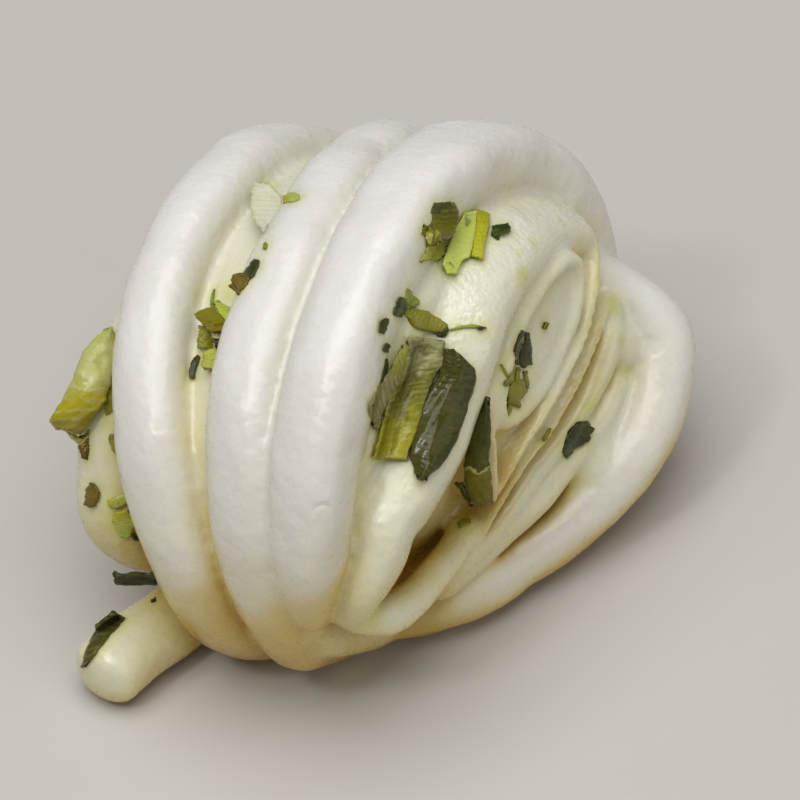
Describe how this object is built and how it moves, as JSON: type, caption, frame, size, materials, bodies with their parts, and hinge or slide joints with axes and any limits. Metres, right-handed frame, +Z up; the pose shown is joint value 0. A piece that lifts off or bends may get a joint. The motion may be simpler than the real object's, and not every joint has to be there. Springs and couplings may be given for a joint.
{
  "type": "scallion flower roll steamed bun",
  "caption": "Steamed bun wound from soft folded strands of white dough, with a spiral end, a loose tail and pieces of spring onion in the folds; rests on its flat underside.",
  "frame": {"origin": "centre of the flat spot on the underside that the bun rests on", "axes": "+Z up; the spiral end faces front right, towards +X and -Y and a little upwards; the tail points to front left"},
  "size_m": [0.0936, 0.0914, 0.071],
  "materials": {
    "dough": "soft, smooth steamed wheat dough with a slight sheen",
    "scallion_dark": "wet dark green leaf",
    "scallion_pale": "wet pale olive stalk",
    "scallion_green": "wet bright green stalk",
    "scallion_white": "wet translucent white bulb"
  },
  "bodies": {
    "root": {"dough": "dough", "scallion_leaf": "scallion_dark", "scallion_sliver": "scallion_dark", "scallion_curl": "scallion_dark", "scallion_stalk": "scallion_pale", "scallion_side": "scallion_pale", "scallion_block": "scallion_green", "scallion_chip": "scallion_green", "scallion_bulb": "scallion_white"}
  },
  "joints": []
}
